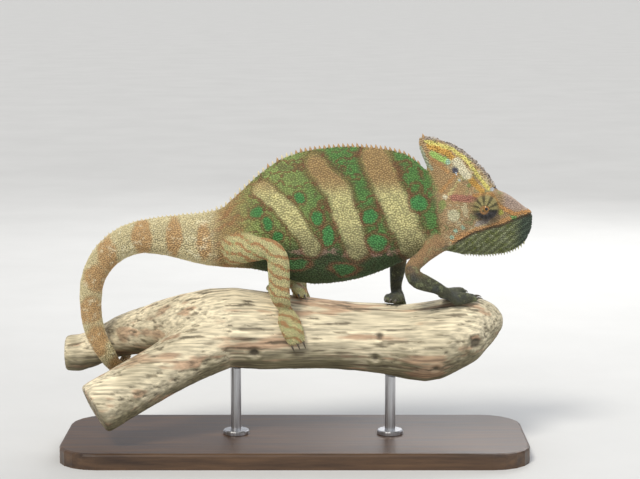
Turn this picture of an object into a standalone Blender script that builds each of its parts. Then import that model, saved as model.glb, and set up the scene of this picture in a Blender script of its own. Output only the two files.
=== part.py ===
"""A male veiled chameleon (Chamaeleo calyptratus), life size, standing on a cut length of forked
driftwood that two short rods hold over a flat base.

Every length below is in millimetres; add_object() scales to metres. +X runs to the snout, +Y to the
animal's left side and +Z up. The origin is the middle of the base's underside.
"""

import math

import bmesh
import bpy
import numpy as np
from mathutils import Matrix, Vector

MM = 0.001
GAP = 0.3  # clearance between neighbouring solids
HALF_GAP = GAP / 2
MERGE = 0.003  # corners nearer than this are made one
CUTTER_GROWTH = 0.5  # how far a solid is grown to cut its neighbour; corners grow a little less

# ---------------------------------------------------------------- driving dimensions: neck and trunk
# name: (x, z of the back, z of the belly, half width, keel: how far the section narrows upwards)
TRUNK_STATIONS = {
    "skull": (118, 199, 158, 9.5, 0.10),
    "nape": (110, 204, 153, 11.0, 0.15),
    "neck": (102, 209, 150.5, 12.2, 0.20),
    "throat": (94, 218, 148, 13.6, 0.28),
    "shoulder": (84, 225.5, 145, 15.6, 0.36),
    "withers": (64, 230, 136, 18.2, 0.42),
    "high_back": (40, 231.7, 129, 20.0, 0.46),
    "mid_back": (14, 229.5, 126.5, 20.0, 0.46),
    "loin": (-8, 223.3, 131, 18.6, 0.42),
    "hip": (-26, 211, 137.5, 16.6, 0.36),
    "rump": (-42, 196, 139, 15.4, 0.25),
    "vent": (-58, 183, 140, 14.8, 0.12),
    "tail_root": (-96, 179, 148.4, 12.2, 0.0),
}
CREST_FROM_X, CREST_TO_X = 84, -66  # the row of spines along the back
CREST_PITCH, CREST_HEIGHT, CREST_HALF_THICK = 6.8, 3.4, 0.7
# ---------------------------------------------------------------- tail
TAIL_LEVEL = 12  # straight run behind the tail root
TAIL_ARCH_RADIUS = 46  # quarter turn from level to hanging
TAIL_DROP = 8  # short straight hang
TAIL_HOOK_RADIUS, TAIL_HOOK_TURN = 62, 34  # gentle turn back towards the head, degrees
# where the tip grips the driftwood's rear arm: (x, degrees round it from +Y towards +Z, clearance)
TAIL_GRIP = ((-137.5, 236, 7.6), (-134, 268, 6.6), (-131, 302, 5.2), (-128.5, 336, 4.2),
             (-126.5, 370, 3.5), (-125, 402, 3.0))
# distance behind the tail root: (half height, half width)
TAIL_SIZES = {0: (15.3, 12.2), 16: (13.3, 11.4), 48: (11.0, 9.8), 84: (8.9, 8.0), 108: (8.3, 7.3),
              130: (7.4, 6.6), 150: (5.9, 5.3), 175: (4.2, 3.8), 205: (2.4, 2.2), 214: (1.3, 1.2)}
TAIL_CUTS = (30, 84, 132)  # distances where the tail's four lengths meet
# ---------------------------------------------------------------- skull and lower jaw
# x: (z of the top, half width of the flat top, z and half width of the widest level)
SKULL_STATIONS = {
    112: (199, 8.0, 178, 15.0),
    121: (201, 8.5, 177, 17.2),
    131: (201.5, 9.5, 176, 16.0),
    141: (200.5, 10.4, 180, 12.2),
    149: (199, 9.6, 181, 11.2),
    156: (197, 8.2, 181, 10.6),
    163: (193, 6.4, 181, 8.9),
    169: (188.2, 4.7, 181.5, 7.0),
    174: (184.6, 3.0, 181.3, 4.8),
    178: (181.6, 1.2, 180.8, 2.0),
}
# x: (z and half width of the lips, z of the throat)
JAW_STATIONS = {
    112: (157.5, 13.2, 154),
    121: (161, 15.4, 151.5),
    131: (167, 15.0, 150.5),
    141: (170.3, 13.6, 150.3),
    149: (172.2, 12.4, 150.6),
    156: (173.8, 11.0, 151.4),
    163: (176.4, 9.2, 153.4),
    169: (178.3, 7.0, 156.4),
    174: (179.5, 4.8, 161),
    178: (179.8, 2.2, 170),
}
HEAD_XS = (112, 117, 123, 130, 137, 144, 150.5, 157, 163, 168, 172, 175.5, 178)
HEAD_LEAN = 0.2  # how far the rear of the head leans back with height
GULAR_FROM_X, GULAR_TO_X = 174, 122  # the row of soft spines under the chin
GULAR_PITCH, GULAR_HEIGHT = 5.8, 3.0
# ---------------------------------------------------------------- casque
# z: (x of the rear edge, x of the front edge, half width)
CASQUE_LEVELS = {
    176: (106, 150, 11.5),
    186: (105, 152, 11.5),
    196: (103.5, 152.5, 10.0),
    204: (101.5, 149.5, 8.4),
    210: (100.2, 145.6, 7.1),
    217: (98, 140, 5.7),
    224: (94.5, 132.5, 4.4),
    230: (92.3, 125, 3.3),
    235: (91.2, 117, 2.4),
    238: (91.6, 111, 1.7),
    239.5: (93.8, 105, 1.0),
}
CASQUE_ZS = (176, 184, 191, 198, 204, 210, 217, 224, 230, 235, 238, 239.5)
# ---------------------------------------------------------------- eyes
EYE_X, EYE_Z = 141.4, 186.5
# distance out from the midline: radius of the scaly turret, out to the rim and down into its pit
TURRET_PROFILE = ((7, 9.2), (11.5, 10.2), (15.2, 9.6), (18.4, 7.6), (20.4, 5.0), (21.2, 3.0),
                  (21.2, 2.2), (19.2, 2.1))
EYEBALL_PROFILE = ((19.5, 1.3), (19.9, 1.8), (20.5, 1.8), (21.0, 1.3), (21.2, 0.5))
# ---------------------------------------------------------------- driftwood perch
# x: (y and z of the middle, radius)
WOOD_STATIONS = {
    -178: (29.5, 68.5, 14.2),
    -165: (28, 69, 14.8),
    -142: (24.5, 80.5, 16.0),
    -123: (20, 87, 18.0),
    -105: (15, 91.5, 20.5),
    -85: (9, 94.5, 24.2),
    -62: (3, 95.5, 28.5),
    -42: (0, 93.5, 31.0),
    -22: (0, 91.5, 30.0),
    16: (0, 89.5, 27.2),
    48: (0, 87, 26.4),
    71: (0, 85, 27.6),
    90: (0, 82.5, 29.6),
    104: (0, 83.7, 31.0),
    121: (1, 88.5, 29.2),
    136.5: (2, 92.5, 24.8),
    146: (3, 96, 18.2),
    153: (3, 98, 11.5),
    157.5: (3, 98.5, 4.5),
}
WOOD_XS = (-178, -166, -153, -138, -123, -105, -85, -65, -45, -25, -5, 20, 45, 66, 84, 98, 110, 121, 130,
           138, 145, 150.5, 155, 157.5)
FORK_POINTS = ((-48, -3, 90), (-75, -13, 78), (-100, -22, 65), (-125, -31.5, 52), (-148, -40, 39.5))
FORK_RADII = (25, 22.5, 20.5, 20.5, 21)
# ---------------------------------------------------------------- stand
BASE_LENGTH, BASE_DEPTH, BASE_THICK, BASE_CORNER = 350, 126, 12, 30
ROD_X = (-45, 72)
ROD_RADIUS, FLANGE_RADIUS, FLANGE_THICK = 4, 10, 3

# ---------------------------------------------------------------- limbs
# joints from the body out; radii are {share of the way along: (across, fore and aft)}
HIND_RADII = {0: (9.5, 12.0), 0.22: (8.8, 10.6), 0.46: (7.4, 8.6), 0.62: (7.8, 9.4), 0.84: (6.6, 9.2),
              1: (5.2, 7.4)}
FORE_RADII = {0: (7.0, 8.4), 0.2: (5.6, 6.0), 0.46: (5.6, 6.2), 0.62: (6.6, 7.3), 0.84: (4.8, 5.4),
              1: (4.2, 5.0)}
LIMBS = {
    "hind_right": {
        "names": ("thigh_right", "shin_right", "hind_foot_right"),
        "joints": ((-49, -9, 155), (-12, -33, 159), (-11, -32.5, 124), (-8.5, -28, 115.5)),
        "radii": HIND_RADII,
        "outer": {"toes": 3, "x": (-8, 2), "turn": (138, 184), "spread": 5.4},
        "inner": {"toes": 2, "x": (-11, -18), "turn": (126, 78), "spread": 4.8},
    },
    "hind_left": {
        "names": ("thigh_left", "shin_left", "hind_foot_left"),
        "joints": ((-49, 9, 155), (-8, 33, 156), (0, 32, 128), (2.5, 26, 119)),
        "radii": HIND_RADII,
        "outer": {"toes": 3, "x": (3, 12), "turn": (45, -12), "spread": 5.4},
        "inner": {"toes": 2, "x": (1.5, 5), "turn": (58, 106), "spread": 4.8},
    },
    "fore_right": {
        "names": ("upper_arm_right", "forearm_right", "hand_right"),
        "joints": ((108, -10, 160), (79.5, -31, 139.5), (106, -25, 128), (112.5, -17, 122.5)),
        "radii": FORE_RADII,
        "outer": {"toes": 2, "x": (112, 135), "turn": (121, 112), "spread": 4.4},
        "inner": {"toes": 3, "x": (113, 125), "turn": (108, 76), "spread": 4.2},
    },
    "fore_left": {
        "names": ("upper_arm_left", "forearm_left", "hand_left"),
        "joints": ((104, 10, 158), (80, 33.5, 147), (77, 31.5, 121), (78, 26, 113)),
        "radii": FORE_RADII,
        "outer": {"toes": 2, "x": (79, 88), "turn": (44, -10), "spread": 4.4},
        "inner": {"toes": 3, "x": (78, 72), "turn": (57, 98), "spread": 4.2},
    },
}
BEND_RADIUS = 10  # of the middle line at the knee, ankle, elbow and wrist
TOE_RADII = (4.4, 4.2, 2.9)  # from the palm to the tip
CLAW_LENGTH, CLAW_RADIUS = 3.2, 1.0

COLOURS = {  # name: (base colour, roughness, metallic)
    "scaled_skin": ((0.45, 0.42, 0.18), 0.6, 0.0),
    "green_skin": ((0.16, 0.36, 0.10), 0.6, 0.0),
    "banded_skin": ((0.50, 0.38, 0.18), 0.6, 0.0),
    "eye": ((0.02, 0.015, 0.01), 0.1, 0.0),
    "driftwood": ((0.62, 0.50, 0.34), 0.8, 0.0),
    "base_wood": ((0.10, 0.06, 0.04), 0.4, 0.0),
    "steel": ((0.60, 0.60, 0.62), 0.3, 1.0),
}


# ================================================================ curves and sections
def smooth_through(stations, at):
    """Values at the given places, on a smooth curve with no overshoot through {place: values}."""
    places = np.array(sorted(stations), float)
    values = np.array([np.atleast_1d(stations[p]) for p in sorted(stations)], float)
    steps = np.diff(places)[:, None]
    slopes = np.diff(values, axis=0) / steps
    tangents = np.zeros_like(values)
    before, after = slopes[:-1], slopes[1:]
    same_way = before * after > 0
    harmonic = 2 * before * after / np.where(same_way, before + after, 1)
    tangents[1:-1] = np.where(same_way, harmonic, 0)
    tangents[0], tangents[-1] = slopes[0], slopes[-1]
    at = np.clip(np.atleast_1d(np.asarray(at, float)), places[0], places[-1])
    i = np.clip(np.searchsorted(places, at, side="right") - 1, 0, len(places) - 2)
    t = ((at - places[i])[:, None]) / steps[i]
    return ((1 + 2 * t) * (1 - t) ** 2 * values[i] + t * (1 - t) ** 2 * steps[i] * tangents[i]
            + t * t * (3 - 2 * t) * values[i + 1] - t * t * (1 - t) * steps[i] * tangents[i + 1])


def spline(points, count):
    """Evenly spread points on a smooth curve through the given ones."""
    points = np.array(points, float)
    along = np.concatenate([[0], np.cumsum(np.linalg.norm(np.diff(points, axis=0), axis=1))])
    padded = np.vstack([2 * points[0] - points[1], points, 2 * points[-1] - points[-2]])
    found = []
    for where in np.linspace(0, along[-1], count):
        i = min(int(np.searchsorted(along, where, side="right")) - 1, len(points) - 2)
        t = (where - along[i]) / (along[i + 1] - along[i])
        a, b, c, d = padded[i:i + 4]
        found.append(0.5 * (2 * b + (c - a) * t + (2 * a - 5 * b + 4 * c - d) * t * t
                            + (3 * b - a - 3 * c + d) * t ** 3))
    return np.array(found)


def unit(vector):
    return vector / np.linalg.norm(vector)


def frames_along(path, first_side):
    """(middle, side, up) at each point of a path, turning no more than the path does."""
    tangents = np.gradient(path, axis=0)
    tangents /= np.linalg.norm(tangents, axis=1)[:, None]
    side, frames = np.array(first_side, float), []
    for middle, tangent in zip(path, tangents):
        side = unit(side - tangent * (side @ tangent))
        frames.append((middle, side, np.cross(side, tangent)))
    return frames


def ellipse(middle, side, up, across, along, count):
    turn = np.arange(count) * 2 * math.pi / count
    return middle + np.outer(np.cos(turn) * across, side) + np.outer(np.sin(turn) * along, up)


# ================================================================ meshes and objects
def mesh_of(rings):
    """Closed mesh through rings with equal counts of points, flat at both ends."""
    bm = bmesh.new()
    made = [[bm.verts.new(Vector(p) * MM) for p in ring] for ring in rings]
    for a, b in zip(made, made[1:]):
        for i in range(len(a)):
            j = (i + 1) % len(a)
            bm.faces.new((a[i], a[j], b[j], b[i]))
    bm.faces.new(made[0])
    bm.faces.new(made[-1])
    bmesh.ops.recalc_face_normals(bm, faces=bm.faces)
    mesh = bpy.data.meshes.new("solid")
    bm.to_mesh(mesh)
    bm.free()
    return mesh


def grown(mesh, by):
    """A copy of a mesh with its surface moved out."""
    bm = bmesh.new()
    bm.from_mesh(mesh)
    bm.normal_update()
    moves = [v.normal * by * MM * min(v.calc_shell_factor(), 2.0) for v in bm.verts]
    for vertex, move in zip(bm.verts, moves):
        vertex.co += move
    result = bpy.data.meshes.new("grown")
    bm.to_mesh(result)
    bm.free()
    return result


def boolean(mesh, others, operation):
    """mesh after a union or difference with each of the other meshes."""
    working = bpy.data.objects.new("working", mesh)
    bpy.context.collection.objects.link(working)
    helpers = []
    for other in others:
        helper = bpy.data.objects.new("helper", other)
        bpy.context.collection.objects.link(helper)
        helpers.append(helper)
        modifier = working.modifiers.new("cut", "BOOLEAN")
        modifier.operation = operation
        modifier.object = helper
    graph = bpy.context.evaluated_depsgraph_get()
    result = bpy.data.meshes.new_from_object(working.evaluated_get(graph))
    for helper in helpers + [working]:
        bpy.data.objects.remove(helper)
    return result


def islands(bm):
    """The mesh's separate bodies, as lists of vertices."""
    left, found = set(bm.verts), []
    while left:
        body, front = [], [left.pop()]
        while front:
            vertex = front.pop()
            body.append(vertex)
            nearby = {e.other_vert(vertex) for e in vertex.link_edges} & left
            left -= nearby
            front += nearby
        found.append(body)
    return found


def tidy(mesh):
    """Leaves triangles only, in one body, with the slivers that Booleans make dissolved."""
    bm = bmesh.new()
    bm.from_mesh(mesh)
    crumbs = sorted(islands(bm), key=len)[:-1]
    bmesh.ops.delete(bm, geom=[v for crumb in crumbs for v in crumb], context="VERTS")
    bmesh.ops.remove_doubles(bm, verts=bm.verts, dist=MERGE * MM)
    bmesh.ops.dissolve_degenerate(bm, edges=bm.edges, dist=MERGE * MM)
    bmesh.ops.triangulate(bm, faces=bm.faces)
    bmesh.ops.recalc_face_normals(bm, faces=bm.faces)
    bm.to_mesh(mesh)
    bm.free()
    return mesh


def material(name):
    found = bpy.data.materials.get(name)
    if found:
        return found
    colour, roughness, metallic = COLOURS[name]
    made = bpy.data.materials.new(name)
    made.use_nodes = True
    shader = made.node_tree.nodes["Principled BSDF"]
    shader.inputs["Base Color"].default_value = (*colour, 1)
    shader.inputs["Roughness"].default_value = roughness
    shader.inputs["Metallic"].default_value = metallic
    return made


def add_object(name, mesh, material_name, sharp_above=35):
    mesh.name = name
    mesh.materials.clear()
    mesh.materials.append(material(material_name))
    mesh.shade_smooth()
    mesh.set_sharp_from_angle(angle=math.radians(sharp_above))
    made = bpy.data.objects.new(name, mesh)
    bpy.context.collection.objects.link(made)
    return made


# ================================================================ driftwood
def wood_at(x):
    """(y, z, radius) of the driftwood's main limb."""
    return smooth_through(WOOD_STATIONS, x)[0]


def on_wood(x, turn, above=0.0):
    """A point on the main limb's surface; turn is in degrees from +Y towards +Z."""
    y, z, radius = wood_at(x)
    angle = math.radians(turn)
    return np.array([x, y + (radius + above) * math.cos(angle), z + (radius + above) * math.sin(angle)])


def limb_mesh(sides=18):
    """The main limb: cut flat on the left, and worn round on the right."""
    rings = []
    for x in WOOD_XS:
        y, z, radius = wood_at(x)
        rings.append([(x, y + radius * math.cos(a), z + radius * math.sin(a))
                      for a in np.arange(sides) * 2 * math.pi / sides])
    return mesh_of(rings)


def fork_mesh(sides=12, count=7):
    path = spline(FORK_POINTS, count)
    radii = np.interp(np.linspace(0, 1, count), np.linspace(0, 1, len(FORK_RADII)), FORK_RADII)
    frames = frames_along(path, (0, 0, 1))
    return mesh_of([ellipse(m, s, u, r, r, sides) for (m, s, u), r in zip(frames, radii)])


# ================================================================ neck, trunk and tail
def section(middle, side, up, half_width, half_height, keel, count):
    """Oval section; keel narrows its upper part to a ridge."""
    turn = np.arange(count) * 2 * math.pi / count
    down = (1 - np.cos(turn)) / 2
    across = half_width * np.sin(turn) * (1 - keel * (1 - down) ** 2)
    return middle + np.outer(across, side) + np.outer(np.cos(turn) * half_height, up)


def trunk_ring(x, grow=0.0, count=18):
    top, bottom, half_width, keel = smooth_through({s[0]: s[1:] for s in TRUNK_STATIONS.values()}, x)[0]
    middle = np.array([x, 0, (top + bottom) / 2])
    return section(middle, np.array([0, 1.0, 0]), np.array([0, 0, 1.0]), half_width + grow,
                   (top - bottom) / 2 + grow, keel, count)


def tail_path(step=2.0):
    """The tail's middle line, from its root to its tip: level, over an arch, down, and under and
    behind the driftwood's rear arm, which it grips."""
    x, _, _, _, _ = TRUNK_STATIONS["tail_root"]
    z = sum(TRUNK_STATIONS["tail_root"][1:3]) / 2
    points, heading = [np.array([x, z])], math.pi  # heading in the XZ plane

    def go(length, turn=0.0):
        nonlocal heading
        steps = max(1, round(length / step))
        for _ in range(steps):
            heading += math.radians(turn) / steps / 2
            points.append(points[-1] + length / steps * np.array([math.cos(heading), math.sin(heading)]))
            heading += math.radians(turn) / steps / 2

    go(TAIL_LEVEL)
    go(TAIL_ARCH_RADIUS * math.pi / 2, 90)
    go(TAIL_DROP)
    go(TAIL_HOOK_RADIUS * math.radians(TAIL_HOOK_TURN), TAIL_HOOK_TURN)
    free = [np.array([p[0], 0, p[1]]) for p in points[::3]]
    dense = spline(free + [on_wood(*place) for place in TAIL_GRIP], 400)
    along = np.concatenate([[0], np.cumsum(np.linalg.norm(np.diff(dense, axis=0), axis=1))])
    return dense, along


def tail_ring(distance, grow=0.0, count=12):
    dense, along = TAIL
    i = int(np.clip(np.searchsorted(along, distance), 1, len(along) - 2))
    middle = np.array([np.interp(distance, along, dense[:, k]) for k in range(3)])
    side, up = TAIL_FRAMES[i][1:]
    scale = TAIL_TIP / along[-1]
    half_height, half_width = smooth_through(TAIL_SIZES, distance * scale)[0]
    return section(middle, side, up, half_width + grow, half_height + grow, 0.0, count)


TAIL = tail_path()
TAIL_FRAMES = frames_along(TAIL[0], (0, 1, 0))
TAIL_TIP = max(TAIL_SIZES)
TAIL_LENGTH = TAIL[1][-1]


def trunk_mesh(from_x, to_x, step, grow=0.0):
    count = max(2, round(abs(from_x - to_x) / step) + 1)
    return mesh_of([trunk_ring(x, grow) for x in np.linspace(from_x, to_x, count)])


def tail_mesh(start, end, step, rings_before=()):
    count = max(2, round((end - start) / step) + 1)
    rings = [tail_ring(d) for d in np.linspace(start, end, count)]
    return mesh_of(list(rings_before) + rings)


def saw_blade(from_x, to_x, pitch, height, edge_z, half_thick, downwards=False):
    """A row of teeth as one thin blade; its root is sunk into the surface at edge_z(x)."""
    way = -1 if downwards else 1
    teeth = round(abs(from_x - to_x) / pitch)
    rings = []
    for i, x in enumerate(np.linspace(from_x, to_x, 2 * teeth + 1)):
        share = math.sin(math.pi * min(1, max(0, i / (2 * teeth)))) ** 0.4
        tip = (0.6 + height * share) if i % 2 else 0.5
        root = edge_z(x) - way * 2.2
        top = edge_z(x) + way * tip
        thin = 0.3 if i % 2 else half_thick
        rings.append([(x, -half_thick, root), (x, half_thick, root), (x, thin, top), (x, -thin, top)])
    return mesh_of(rings)


# ================================================================ head
def skull_section(x, count=8):
    """Half outline of the upper head at x, from the middle of its top to the lips: (half width, z)."""
    top, flat, wide_z, wide = smooth_through(SKULL_STATIONS, x)[0]
    lip_z, lip, _ = smooth_through(JAW_STATIONS, x)[0]
    knots = [(0, 0, top), (flat * 0.6, 0, top - 0.1), (flat, 0, top - 1.2),
             ((flat + wide) / 2 + 0.3, 0, (top + wide_z) / 2), (wide, 0, wide_z),
             (lip, 0, lip_z)]
    return [(p[0], p[2]) for p in spline(knots, count)]


def jaw_section(x, count=6):
    """Half outline of the lower jaw at x, from the lips to the middle of the throat."""
    lip_z, lip, throat = smooth_through(JAW_STATIONS, x)[0]
    deep = lip_z - throat
    return [(lip * math.cos(a) ** 0.85, lip_z - deep * math.sin(a))
            for a in np.linspace(0, math.pi / 2 - 0.0001, count)]


def mirrored_ring(x, half, lean):
    """A closed ring from a half outline whose first point may be on the midline."""
    right = [(x + lean(z), -w, z) for w, z in half]
    left = [(x + lean(z), w, z) for w, z in reversed(half) if w > 0.01]
    return right + left


def head_lean(x):
    """The rear of the head leans back towards the casque; the snout's sections stand upright."""
    share = max(0.0, (150 - x) / 38) ** 1.4
    return lambda z: -share * max(0.0, z - 156) * HEAD_LEAN


def upper_head_mesh(grow=0.0, with_jaw=False):
    rings = []
    for x in HEAD_XS:
        half = skull_section(x)
        if with_jaw:
            half = half[:-1] + jaw_section(x)
            half[-1] = (0.0, half[-1][1])
        else:
            half[-1] = (half[-1][0], half[-1][1] + HALF_GAP)
        rings.append(mirrored_ring(x, half, head_lean(x)))
    mesh = mesh_of(rings)
    return grown(mesh, grow) if grow else mesh


def lower_jaw_mesh():
    rings = []
    for x in HEAD_XS:
        half = jaw_section(x)
        half[0] = (half[0][0], half[0][1] - HALF_GAP)
        half[-1] = (0.0, half[-1][1])
        rings.append(mirrored_ring(x, half, head_lean(x)))
    return mesh_of(rings)


def casque_mesh(grow=0.0, count=16):
    """The tall blade of the casque, as level slices: blunt behind and sharp in front."""
    rings = []
    for z in CASQUE_ZS:
        rear, front, half_width = smooth_through(CASQUE_LEVELS, z)[0]
        turn = np.arange(count) * 2 * math.pi / count
        xs = (rear + front) / 2 + (front - rear) / 2 * np.cos(turn)
        narrowing = np.clip(1 - 0.75 * (xs - rear) / (front - rear), 0.2, 1)
        ys = half_width * 1.35 * np.sign(np.sin(turn)) * np.abs(np.sin(turn)) ** 0.8 * narrowing
        rings.append([(x, y, z) for x, y in zip(xs, ys)])
    mesh = mesh_of(rings)
    return grown(mesh, grow) if grow else mesh


def head_cutter():
    """The whole head, grown, as one solid."""
    skull = upper_head_mesh(CUTTER_GROWTH, with_jaw=True)
    return boolean(skull, [casque_mesh(CUTTER_GROWTH)], "UNION")


def round_about_y(profile, way, sides):
    """A turned solid on the eye's axis; way is -1 for the right eye and 1 for the left."""
    return mesh_of([[(EYE_X + radius * math.cos(a), way * out, EYE_Z + radius * math.sin(a))
                     for a in np.arange(sides) * 2 * math.pi / sides] for out, radius in profile])


# ================================================================ limbs
def rounded_path(joints, bend_radius, step=2.5):
    """Points along straight runs between joints, with an arc at each inner joint. Also gives the
    index at the middle of each arc."""
    joints = [np.array(j, float) for j in joints]
    points, middles = [joints[0]], []
    for before, corner, after in zip(joints, joints[1:], joints[2:]):
        back, on = unit(before - corner), unit(after - corner)
        half = math.acos(np.clip(back @ on, -1, 1)) / 2
        reach = min(bend_radius / math.tan(half), 0.45 * min(np.linalg.norm(before - corner),
                                                             np.linalg.norm(after - corner)))
        radius = reach * math.tan(half)
        centre = corner + unit(back + on) * radius / math.sin(half)
        first, last = corner + back * reach - centre, corner + on * reach - centre
        sweep = math.pi - 2 * half
        arc = [centre + (first * math.sin(sweep * (1 - t)) + last * math.sin(sweep * t))
               / math.sin(sweep) for t in (0, 0.25, 0.5, 0.75, 1)]
        run = np.linalg.norm(arc[0] - points[-1])
        for i in range(1, max(1, round(run / (3 * step)))):
            points.append(points[-1] + (arc[0] - points[-1]) * i / max(1, round(run / (3 * step))))
        middles.append(len(points) + 2)
        points += arc
    points.append(joints[-1])
    return np.array(points), middles


def limb_rings(limb, count=10):
    """Rings of a whole limb from the body to the palm, with the index of the ring at each of its two
    bends and the limb's direction there."""
    path, middles = rounded_path(limb["joints"], BEND_RADIUS)
    along = np.concatenate([[0], np.cumsum(np.linalg.norm(np.diff(path, axis=0), axis=1))])
    radii = smooth_through(limb["radii"], along / along[-1])
    frames = frames_along(path, (0, 1, 0))
    rings = [ellipse(m, s, u, r[0], r[1], count) for (m, s, u), r in zip(frames, radii)]
    tangents = np.gradient(path, axis=0)
    cuts = [unit(tangents[i]) for i in middles]
    return rings, middles, cuts


def toe_mesh(start, bundle, place, sides=6):
    """One toe, from the palm along the wood to its claw. place is -1, 0 or 1 across the bundle."""
    (x0, x1), (turn0, turn1) = bundle["x"], bundle["turn"]
    spread = bundle["spread"] * place
    length = math.hypot(x1 - x0, math.radians(turn1 - turn0) * 33)
    across_x = -math.radians(turn1 - turn0) * 33 / length
    across_turn = (x1 - x0) / length
    points, radii = [np.array(start, float)], [TOE_RADII[0] * 1.1]
    for share, radius in zip((0.36, 0.7, 1.0), TOE_RADII):
        ease = min(1.0, share * 3.5) * (1 - 0.15 * share)
        x = x0 + (x1 - x0) * share + across_x * spread * ease
        turn = turn0 + (turn1 - turn0) * share + math.degrees(across_turn * spread * ease / 33)
        points.append(on_wood(x, turn, radius * 0.86))
        radii.append(radius)
    way = unit(points[-1] - points[-2])
    inward = unit(np.array([0, *wood_at(points[-1][0])[:2]]) - points[-1] * np.array([0, 1, 1]))
    tip = points[-1]
    for share, radius in ((0.7, CLAW_RADIUS * 1.2), (1.8, 0.3)):
        points.append(tip + way * CLAW_LENGTH * share + inward * CLAW_LENGTH * 0.12 * share)
        radii.append(radius)
    frames = frames_along(np.array(points), (1, 0, 0) if abs(turn1 - turn0) > 30 else (0, 1, 0))
    return mesh_of([ellipse(m, s, u, r, r, sides) for (m, s, u), r in zip(frames, radii)])


def foot_mesh(limb, palm_rings, way, wood_cutter):
    """The palm and its two opposed bundles of toes, as one solid that fits the wood it grips."""
    palm_end = np.array(limb["joints"][-1], float)
    toes = []
    for bundle, side in ((limb["outer"], 1), (limb["inner"], -1)):
        for place in np.linspace(-1, 1, bundle["toes"]) * (1.0 if bundle["toes"] > 2 else 0.55):
            start = palm_end - 2.1 * way + np.array([1.2 * place + 0.4 * side, 0.6 * side, 0.4 * place])
            toes.append(toe_mesh(start, bundle, place))
    whole = mesh_of(palm_rings)
    for toe in toes:
        whole = boolean(whole, [toe], "UNION")
    return boolean(whole, [wood_cutter], "DIFFERENCE")


# ================================================================ the model
def make_stand(wood_cutter):
    bm = bmesh.new()
    corners = []
    for cx, cy, first in ((1, 1, 0), (-1, 1, 90), (-1, -1, 180), (1, -1, 270)):
        for i in range(6):
            a = math.radians(first + 18 * i)
            corners.append(((BASE_LENGTH / 2 - BASE_CORNER) * cx + BASE_CORNER * math.cos(a),
                            (BASE_DEPTH / 2 - BASE_CORNER) * cy + BASE_CORNER * math.sin(a)))
    face = bm.faces.new([bm.verts.new(Vector((x, y, 0)) * MM) for x, y in corners])
    top = bmesh.ops.extrude_face_region(bm, geom=[face])
    raised = [v for v in top["geom"] if isinstance(v, bmesh.types.BMVert)]
    bmesh.ops.translate(bm, verts=raised, vec=(0, 0, BASE_THICK * MM))
    bmesh.ops.recalc_face_normals(bm, faces=bm.faces)
    rim = [e for e in bm.edges if all(v in raised for v in e.verts)]
    bmesh.ops.bevel(bm, geom=rim, offset=2 * MM, segments=2, affect="EDGES", profile=0.5)
    base = bpy.data.meshes.new("base")
    bm.to_mesh(base)
    bm.free()
    add_object("stand_base", base, "base_wood")
    for name, x in zip(("stand_rod_rear", "stand_rod_front"), ROD_X):
        y, z, radius = wood_at(x)
        foot = BASE_THICK + GAP
        profile = ((foot, FLANGE_RADIUS), (foot + FLANGE_THICK - 0.8, FLANGE_RADIUS),
                   (foot + FLANGE_THICK, FLANGE_RADIUS - 0.8), (foot + FLANGE_THICK, ROD_RADIUS),
                   (z - radius + 4, ROD_RADIUS))
        rings = [[(x + r * math.cos(a), y + r * math.sin(a), h)
                  for a in np.arange(16) * math.pi / 8] for h, r in profile]
        add_object(name, tidy(boolean(mesh_of(rings), [wood_cutter], "DIFFERENCE")), "steel")


def make_body():
    crest = saw_blade(CREST_FROM_X, CREST_TO_X, CREST_PITCH, CREST_HEIGHT,
                      lambda x: trunk_ring(x)[0][2], CREST_HALF_THICK)
    trunk = trunk_mesh(84 - HALF_GAP, -66 + HALF_GAP, 11.5)
    whole_trunk = boolean(trunk, [crest], "UNION")
    add_object("trunk", tidy(whole_trunk), "green_skin")
    neck = boolean(trunk_mesh(118, 84 + HALF_GAP, 5.6), [head_cutter()], "DIFFERENCE")
    add_object("neck", tidy(neck), "scaled_skin")

    root = [trunk_ring(x, count=12) for x in (-66 - HALF_GAP, -76, -86)]
    ends = [0, *TAIL_CUTS, TAIL_LENGTH]
    names = ("tail_base", "tail_arch", "tail_drop", "tail_tip")
    for i, name in enumerate(names):
        start = ends[i] + (HALF_GAP if i else 0)
        end = ends[i + 1] - (HALF_GAP if i < 3 else 0)
        mesh = tail_mesh(start, end, 9 if i < 2 else 7, root if i == 0 else ())
        add_object(name, tidy(mesh), "banded_skin")


def make_head():
    add_object("head", tidy(upper_head_mesh()), "scaled_skin")
    chin = saw_blade(GULAR_FROM_X, GULAR_TO_X, GULAR_PITCH, GULAR_HEIGHT,
                     lambda x: smooth_through(JAW_STATIONS, x)[0][2], 0.8, downwards=True)
    add_object("lower_jaw", tidy(boolean(lower_jaw_mesh(), [chin], "UNION")), "scaled_skin")
    skull_cutter = upper_head_mesh(CUTTER_GROWTH * 1.4, with_jaw=True)
    add_object("casque", tidy(boolean(casque_mesh(), [skull_cutter], "DIFFERENCE")), "scaled_skin")
    for side, way in (("right", -1), ("left", 1)):
        turret = boolean(round_about_y(TURRET_PROFILE, way, 14), [head_cutter()], "DIFFERENCE")
        add_object("eye_turret_" + side, tidy(turret), "scaled_skin")
        add_object("eyeball_" + side, tidy(round_about_y(EYEBALL_PROFILE, way, 8)), "eye")


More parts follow.
